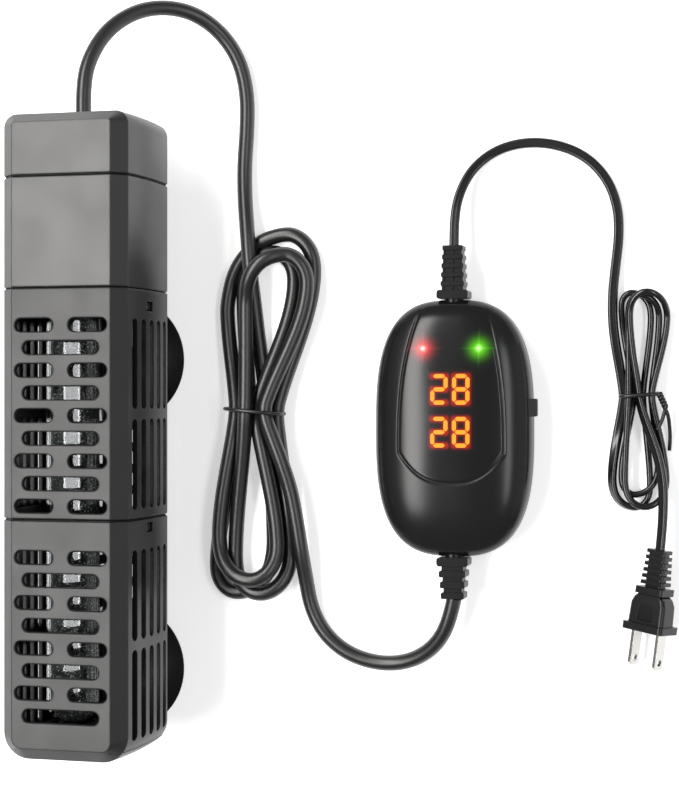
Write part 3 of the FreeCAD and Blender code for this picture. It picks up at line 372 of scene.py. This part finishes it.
MAINS_WAIST = (160.7, 17.9)
MAINS_FOLDS = [
    ((-7.2, 2.4), (1.0, 2.4), (148.0, 165.0), (157.8, -32.5), (2.4, 2.4, 2.4), 0.0),
    ((1.0, 2.4), (-2.6, 2.4), (165.4, 152.2), (157.2, 63.8), (2.4, 2.4, 2.4), 0.0),
    ((-2.6, 2.4), (4.7, 2.4), (152.3, 168.6), (158.6, -26.6), (2.4, 4.2, 2.4), 0.0),
    ((4.7, 2.4), (-4.8, 7.2), (169.0, 155.5), (161.4, 62.6), (2.4, 7.2, 4.2), 0.0),
    ((-4.8, 7.2), (5.2, 7.2), (154.2, 172.2), (163.0, -31.9), (7.2, 7.6, 2.4), 0.0),
    ((5.2, 7.2), (-0.6, 7.4), (172.6, 156.4), (164.2, 63.9), (2.5, 11.0, 8.0), 0.0),
]
MAINS_LEAD_IN = [(149.6, 42.7, 6.2), (151.5, 30.7, 3.8)]
MAINS_LEAD_OUT = [(160.1, 17.9, 7.4), (162.5, 8.7, 8.0), (166.0, -0.8, 8.6), (169.3, -10.8, 8.8)]


def wound(waist, folds):
    """The folds of a hank as one run of points; each waist point is shared by two folds."""
    line = []
    for enter, leave, sides, apex, heights, hump in folds:
        line += bight(waist, enter, leave, sides, apex, heights, hump)
    return line


heater_line = (HEATER_ROUTE_OUT + LEAD_IN + wound(HEATER_WAIST, HEATER_FOLDS) + LEAD_OUT
               + HEATER_ROUTE_IN)
heater_cord = add_curve("heater_cord", metres(heater_line), "heater_cord", CORD_RADIUS * MM)
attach(heater_cord, "heater_set")
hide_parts("heater_cord_rise", "heater_cord_hank", "heater_cord_tail")
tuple(metres(HEATER_ROUTE_OUT)[0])

# The flat twin cord: two round cores side by side in one sheath.
TWIN_WIDTH, TWIN_THICK, TWIN_WAIST, TWIN_STEPS = 4.5, 3.1, 0.14, 36
core = (TWIN_WIDTH - TWIN_THICK) / 2
twin_points = []
for k in range(TWIN_STEPS):
    a = 2 * math.pi * (k + 0.5) / TWIN_STEPS
    c, s = math.cos(a), math.sin(a)
    waisted = 1 - TWIN_WAIST * math.exp(-(c / 0.30) ** 2)
    twin_points.append(((math.copysign(core, c) * min(1, abs(c) * 3) + c * TWIN_THICK / 2) * MM,
                        s * TWIN_THICK / 2 * waisted * MM, 0))
twin = bpy.data.curves.new("twin_section", "CURVE")
twin.dimensions = "2D"
section = twin.splines.new("POLY")
section.points.add(len(twin_points) - 1)
for point, place in zip(section.points, twin_points):
    point.co = (*place, 1)
section.use_cyclic_u = True
twin_section = bpy.data.objects.new("twin_section", twin)
bpy.context.collection.objects.link(twin_section)
twin_section.hide_render = True
twin_section.hide_viewport = True

mains_hank = wound(MAINS_WAIST, MAINS_FOLDS)
mains_line = MAINS_ROUTE_OUT + MAINS_LEAD_IN + mains_hank + MAINS_LEAD_OUT + MAINS_ROUTE_IN
FLAT, ON_EDGE, PLUG_ROLL = 0.0, math.pi / 2, math.radians(29)
# It rolls on its edge as it enters the hank and to the plug's roll as it leaves.
first = len(MAINS_ROUTE_OUT) + len(MAINS_LEAD_IN)
roll_in, roll_in_points = first + 2, 8
roll_out, roll_out_points = first + len(mains_hank) - 3, 5
tilts = []
for k in range(len(mains_line)):
    into = min(1, max(0, (k - roll_in) / roll_in_points))
    out = min(1, max(0, (k - roll_out) / roll_out_points))
    tilts.append(FLAT + (ON_EDGE - FLAT) * into + (PLUG_ROLL - ON_EDGE) * out)
mains_cord = add_curve("mains_cord", metres(mains_line), "mains_cord", profile=twin_section, tilts=tilts)
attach(mains_cord, "heater_set")
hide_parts("mains_cord_rise", "mains_cord_hank", "mains_cord_tail")
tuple(metres(MAINS_ROUTE_OUT)[0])


# ---------------------------------------------------------------- ties
TIE_RADIUS, BAND_POINTS = 0.85, 24


def band(centre, half_width, height, tilt, power=2.4):
    """The middle line of a closed loop of wire round a bundle that lies on the floor."""
    points = []
    for k in range(BAND_POINTS):
        a = 2 * math.pi * k / BAND_POINTS
        c, s = math.cos(a), math.sin(a)
        x = math.copysign(abs(c) ** (2 / power), c) * half_width
        z = TIE_RADIUS + height / 2 + math.copysign(abs(s) ** (2 / power), s) * height / 2
        points.append((centre[0] + x, centre[1] + x * math.sin(tilt), z))
    return points


heater_band = metres(band(HEATER_WAIST, half_width=14.0, height=19.4, tilt=math.radians(-5)))
heater_tie = add_curve("heater_tie", heater_band, "tie", TIE_RADIUS * MM, closed=True)
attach(heater_tie, "heater_set")
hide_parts("heater_cord_tie")

mains_band = metres(band(MAINS_WAIST, half_width=8.8, height=9.8, tilt=math.radians(4), power=3.0))
mains_tie = add_curve("mains_tie", mains_band, "tie", TIE_RADIUS * MM, closed=True)
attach(mains_tie, "heater_set")
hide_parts("mains_cord_tie")

# The two ends are twisted together and left loose.
KNOT = [(MAINS_WAIST[0] + 8.6, MAINS_WAIST[1] + 0.9, 8.0),
        (MAINS_WAIST[0] + 11.0, MAINS_WAIST[1] - 4.6, 6.4)]
TWISTS, TWIST_STEPS = 2.0, 12
TAILS = [[(171.6, 11.0, 5.6), (170.7, 7.4, 5.8), (169.4, 4.4, 6.6), (168.4, 2.4, 7.2)],
         [(172.9, 10.2, 5.6), (173.6, 4.6, 3.8), (173.8, -1.6, 1.9), (173.3, -6.6, 1.0)]]
for number, tail in enumerate(TAILS):
    twisted = []
    for k in range(TWIST_STEPS + 1):
        t = k / TWIST_STEPS
        a = 2 * math.pi * TWISTS * t + math.pi * number
        spot = [p + (q - p) * t for p, q in zip(*KNOT)]
        twisted.append((spot[0] + TIE_RADIUS * math.cos(a), spot[1],
                        spot[2] + TIE_RADIUS * math.sin(a)))
    end = add_curve(f"twist_end_{number + 1}", metres(twisted + tail), "tie", TIE_RADIUS * MM)
    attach(end, "heater_set")

# ---------------------------------------------------------------- controller
shell_low, shell_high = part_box("controller_top_shell")
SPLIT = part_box("controller_bottom_shell")[1][2]
CX, CY = (shell_low[0] + shell_high[0]) / 2, (shell_low[1] + shell_high[1]) / 2
HALF_W, HALF_L = (shell_high[0] - shell_low[0]) / 2, (shell_high[1] - shell_low[1]) / 2
DOME = shell_high[2] - SPLIT
POWER, PROFILE = 2.9, 2.5          # how square the outline is from above, and the dome from the side


def outline(angle, scale):
    c, s = math.cos(angle), math.sin(angle)
    return (math.copysign(abs(c) ** (2 / POWER), c) * HALF_W * scale,
            math.copysign(abs(s) ** (2 / POWER), s) * HALF_L * scale)


def dome_z(x, y):
    """Height of the top shell above a point given from the controller's centre."""
    r = (abs(x / HALF_W) ** POWER + abs(y / HALF_L) ** POWER) ** (1 / POWER)
    return SPLIT + DOME * max(0.0, 1 - r ** PROFILE) ** (1 / PROFILE)


def panel_edge():
    """The shield outline of the panel, from the controller's centre."""
    half_low, half_top = 23.8, 12.0
    low_y, shoulder_y, top_y, past_top = -24.4, -10.9, 62.0, 74.0
    side_bow, chin_bow, shift = 1.35, 2.6, 0.8
    side_steps, chin_steps = 30, 40
    side = []
    for k in range(side_steps + 1):
        t = k / side_steps
        side.append((half_top + (half_low - half_top) * math.cos(math.pi / 2 * t ** side_bow),
                     shoulder_y + (top_y - shoulder_y) * t))
    chin = []
    for k in range(1, chin_steps):
        t = -1 + 2 * k / chin_steps
        chin.append((-half_low * t, low_y + (shoulder_y - low_y) * abs(t) ** chin_bow))
    side.append((half_top, past_top))
    ring = side + [(-x, y) for x, y in reversed(side)] + [(-x, y) for x, y in chin]
    return [((x + shift) * MM, y * MM) for x, y in ring]


PANEL = panel_edge()


def line_distance(x, y, start, end):
    """Distance from a point to the straight line between two others."""
    (ax, ay), (bx, by) = start, end
    dx, dy = bx - ax, by - ay
    t = max(0.0, min(1.0, ((x - ax) * dx + (y - ay) * dy) / (dx * dx + dy * dy)))
    return math.hypot(x - ax - t * dx, y - ay - t * dy)


def panel_distance(x, y):
    """Distance to the panel's edge, negative inside it."""
    best, inside = 1.0, False
    for start, end in zip(PANEL, PANEL[1:] + PANEL[:1]):
        (ax, ay), (bx, by) = start, end
        best = min(best, line_distance(x, y, start, end))
        if (ay > y) != (by > y) and x < ax + (y - ay) / (by - ay) * (bx - ax):
            inside = not inside
    return -best if inside else best


AROUND, RINGS = ((300, 130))
KEEL_RINGS = 40
CROWN = 0.001                      # size of the last ring of the dome, by the outline
GROOVE_WIDTH, GROOVE_DEPTH = 0.0005, 0.00055
SEAM_DROP, SEAM_GAP, LIP = 0.0004, 0.0009, 0.985
KEEL_TUCK, KEEL_POWER = 0.11, 3.2  # how far the bottom shell draws in at the floor, and how late


def dome_rings():
    """The top shell's skin, from the seam to the crown, with the panel's edge sunk in."""
    points, inside = [], []
    for i in range(RINGS):
        t = i / (RINGS - 1)
        scale = max(math.cos(math.pi / 2 * t), CROWN)
        for k in range(AROUND):
            x, y = outline(2 * math.pi * (k + 0.5) / AROUND, scale)
            d = panel_distance(x, y)
            groove = GROOVE_DEPTH * math.exp(-(d / GROOVE_WIDTH) ** 2)
            by_the_seam = scale ** 8
            points.append((CX + x, CY + y, dome_z(x, y) - groove * (1 - by_the_seam)))
            inside.append(d < 0)
    return points, inside


def lip(ring):
    """A ring drawn in towards the controller's middle and laid in the seam."""
    return [(CX + (x - CX) * LIP, CY + (y - CY) * LIP, SPLIT - SEAM_DROP) for x, y, z in ring]


dome_points, on_panel = dome_rings()
edge = dome_points[:AROUND]
seam = [(x, y, z - SEAM_DROP) for x, y, z in edge]
top = add_mesh("controller_top", lip(edge) + seam + dome_points, skin_faces(RINGS + 2, AROUND),
               "controller_plastic")
top.data.materials.append(FINISHES["panel_gloss"])
for face in top.data.polygons:
    spots = [v - 2 * AROUND for v in face.vertices]
    if min(spots) >= 0 and all(on_panel[s] for s in spots):
        face.material_index = 1
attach(top, "heater_set")
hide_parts("controller_top_shell", "display_panel")

keel_points = []
for i in range(KEEL_RINGS):
    drop = math.sin(math.pi / 2 * i / (KEEL_RINGS - 1))
    for k in range(AROUND):
        x, y = outline(2 * math.pi * (k + 0.5) / AROUND, 1 - KEEL_TUCK * drop ** KEEL_POWER)
        keel_points.append((CX + x, CY + y, (SPLIT - SEAM_GAP) * (1 - drop)))
bottom = add_mesh("controller_bottom", lip(keel_points[:AROUND]) + keel_points,
                  skin_faces(KEEL_RINGS + 1, AROUND), "controller_plastic")
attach(bottom, "heater_set")
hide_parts("controller_bottom_shell")


# ---------------------------------------------------------------- digits and lamps
def on_dome(x, y, lift):
    """A point a little above the panel, from x and y in the object's frame."""
    return (x, y, dome_z(x - CX, y - CY) + lift)


SEGMENTS = {"a": ((0, 1), (1, 1)), "b": ((1, 1), (1, 0.5)), "c": ((1, 0.5), (1, 0)),
            "d": ((0, 0), (1, 0)), "e": ((0, 0.5), (0, 0)), "f": ((0, 1), (0, 0.5)),
            "g": ((0, 0.5), (1, 0.5))}
LIT = {"2": "abged", "8": "abcdefg"}
DIGIT_W, DIGIT_H, STROKE, PITCH, BAR_GAP = 0.0060, 0.0118, 0.00185, 0.0098, 0.00028
BAR_LIFT, CORE_LIFT, GLOW_LIFT = 0.00022, 0.00020, 0.00012     # above the panel, so that none meet


def bars(mx, my):
    """The two ends of each lit bar of a "28" round a middle point."""
    found = []
    for place, digit in enumerate("28"):
        left, low = mx - (PITCH + DIGIT_W) / 2 + place * PITCH, my - DIGIT_H / 2
        for name in LIT[digit]:
            (ax, ay), (bx, by) = SEGMENTS[name]
            found.append(((left + ax * DIGIT_W, low + ay * DIGIT_H),
                          (left + bx * DIGIT_W, low + by * DIGIT_H)))
    return found


def bar_face(start, end):
    """One bar of a digit: a long hexagon with pointed ends, laid on the dome."""
    (ax, ay), (bx, by) = start, end
    length = math.hypot(bx - ax, by - ay)
    ux, uy = (bx - ax) / length, (by - ay) / length
    half = STROKE / 2
    tips, shoulders = (BAR_GAP, length - BAR_GAP), (BAR_GAP + half, length - BAR_GAP - half)
    spots = [(tips[0], 0), (shoulders[0], half), (shoulders[1], half),
             (tips[1], 0), (shoulders[1], -half), (shoulders[0], -half)]
    return [on_dome(ax + ux * s - uy * w, ay + uy * s + ux * w, BAR_LIFT) for s, w in spots]


def bar_distance(x, y, lit_bars):
    """Distance from a point to the middle line of the nearest lit bar."""
    return min(line_distance(x, y, start, end) for start, end in lit_bars)


for row in ("upper", "lower"):
    mx, my, _ = middle(f"{row}_display")
    points, faces = [], []
    for start, end in bars(mx, my):
        faces.append(tuple(range(len(points), len(points) + 6)))
        points += bar_face(start, end)
    digits = add_mesh(f"{row}_digits", points, faces, "display", smooth=False)
    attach(digits, "heater_set")
    dress(frame["nodes"][f"{row}_display"], FINISHES["inner_plastic"])


def glow_patch(name, centre, half, falloff, material, lift=GLOW_LIFT, count=61):
    """A patch on the dome whose "glow" value falls to zero at its edge, as falloff says."""
    points, values = [], []
    for j in range(count):
        for i in range(count):
            u, v = 2 * i / (count - 1) - 1, 2 * j / (count - 1) - 1
            points.append(on_dome(centre[0] + u * half[0], centre[1] + v * half[1], lift))
            values.append(falloff(u, v))
    faces = [(j * count + i, j * count + i + 1, (j + 1) * count + i + 1, (j + 1) * count + i)
             for j in range(count - 1) for i in range(count - 1)]
    patch = add_mesh(name, points, faces, "display")
    dress(patch, material)
    layer = patch.data.attributes.new("glow", "FLOAT", "POINT")
    layer.data.foreach_set("value", values)
    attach(patch, "heater_set")


DIGIT_HALF, LAMP_HALF, CORE_HALF = (0.0125, 0.0100), (0.0115, 0.0115), (0.0030, 0.0030)
DISC, CORE = 0.34, 0.42            # radius, by the patch's half width
RAY_LIGHT, RAY_WIDTH, RAY_LENGTH = 0.35, 0.02, 0.5


def ray(across, along):
    return RAY_LIGHT * math.exp(-abs(across) / RAY_WIDTH) * math.exp(-(along / RAY_LENGTH) ** 2)


def lamp_falloff(u, v):
    """A soft disc of light with four short rays."""
    r = math.hypot(u, v)
    disc = math.exp(-(r / DISC) ** 2)
    return (disc + (ray(u, v) + ray(v, u))) * max(0.0, 1 - r) ** 0.5


def core_falloff(u, v):
    """The overexposed middle of a lamp."""
    r = math.hypot(u, v)
    return math.exp(-(r / CORE) ** 2) * max(0.0, 1 - r)


def digit_falloff(mx, my):
    """The light round the bars of a "28", from its middle point."""
    lit_bars = bars(mx, my)

    def falloff(u, v):
        d = bar_distance(mx + u * DIGIT_HALF[0], my + v * DIGIT_HALF[1], lit_bars) / MM
        near, far = math.exp(-(d / 1.5) ** 4), 0.10 * math.exp(-(d / 2.4) ** 2)
        return (near + far) * (1 - max(abs(u), abs(v)) ** 6)

    return falloff


digit_glow = halo("digit_glow", (1.0, 0.02, 0.0), 0.42)
for row in ("upper", "lower"):
    mx, my, _ = middle(f"{row}_display")
    glow_patch(f"{row}_digit_glow", (mx, my), DIGIT_HALF, digit_falloff(mx, my), digit_glow)

for colour, tint, core_tint in (("red", (0.85, 0.012, 0.012), (1.0, 0.75, 0.70)),
                                ("green", (0.14, 0.70, 0.008), (0.60, 1.0, 0.45))):
    lamp = middle(f"{colour}_lamp")[:2]
    glow_patch(f"{colour}_glow", lamp, LAMP_HALF, lamp_falloff, halo(f"{colour}_glow", tint, 1.25))
    glow_patch(f"{colour}_core", lamp, CORE_HALF, core_falloff, halo(f"{colour}_core", core_tint, 1.3),
               lift=CORE_LIFT, count=31)

# ---------------------------------------------------------------- studio
HALF_FLOOR = 3.0
floor_mesh = bpy.data.meshes.new("floor")
floor_mesh.from_pydata([(x * HALF_FLOOR, y * HALF_FLOOR, 0) for x, y in ((-1, -1), (1, -1), (1, 1), (-1, 1))],
                       [], [(0, 1, 2, 3)])
floor = bpy.data.objects.new("floor", floor_mesh)
bpy.context.collection.objects.link(floor)
paper = bpy.data.materials.new("paper")
paper.use_nodes = True
paper_shader = paper.node_tree.nodes["Principled BSDF"]
paper_shader.inputs["Base Color"].default_value = (0.9, 0.9, 0.9, 1)
paper_shader.inputs["Roughness"].default_value = 0.7
paper_shader.inputs["Emission Color"].default_value = (1, 1, 1, 1)
paper_shader.inputs["Emission Strength"].default_value = 0.50
floor_mesh.materials.append(paper)


def area_light(name, place, size, power, aim=(0, 0, 0.02), colour=(1, 1, 1)):
    data = bpy.data.lights.new(name, "AREA")
    data.shape = "RECTANGLE"
    data.size_y, data.size = size      # across, then along the heater
    data.energy = power
    data.color = colour
    light = bpy.data.objects.new(name, data)
    light.location = place
    toward = Vector(aim) - Vector(place)
    light.rotation_euler = toward.to_track_quat("-Z", "Y").to_euler()
    light.visible_camera = False
    bpy.context.collection.objects.link(light)
    return light


area_light("left", (-0.455, 0.37, 1.00), (0.30, 1.66), 21.5, aim=(0, 0.37, 0.02),
           colour=(1.0, 0.985, 0.965))
area_light("right", (0.79, 0.05, 1.08), (0.20, 1.00), 5.0)
area_light("rim", (1.30, 0.0, 0.45), (0.8, 1.4), 1.8, aim=(-0.05, 0, 0.04))

# A broad softbox overhead that only the quartz tube takes, for the bright blocks behind the slots.
tube_only = bpy.data.collections.new("tube_only")
tube_only.objects.link(frame["nodes"]["quartz_tube"])
tube_light = area_light("tube", (0.14, 0.05, 1.10), (1.10, 1.30), 28.0)
tube_light.light_linking.receiver_collection = tube_only

world = bpy.data.worlds.new("studio")
world.use_nodes = True
world.node_tree.nodes["Background"].inputs["Color"].default_value = (1, 1, 1, 1)
world.node_tree.nodes["Background"].inputs["Strength"].default_value = 0.26
bpy.context.scene.world = world
bpy.context.scene.view_settings.view_transform = "Standard"

# ---------------------------------------------------------------- camera
TILT, DISTANCE = math.radians(14), 0.85
TARGET = Vector((0.0218, 0.01755, 0))
back = Vector((math.sin(TILT), 0, math.cos(TILT)))
right = Vector((math.cos(TILT), 0, -math.sin(TILT)))
up = Vector((0, 1, 0))
camera_data = bpy.data.cameras.new("camera")
camera_data.lens = 83
camera_data.sensor_width = 36
camera = bpy.data.objects.new("camera", camera_data)
spin = Matrix((right, up, back)).transposed().to_4x4()
camera.matrix_world = Matrix.Translation(TARGET + back * DISTANCE) @ spin
bpy.context.collection.objects.link(camera)
bpy.context.scene.camera = camera
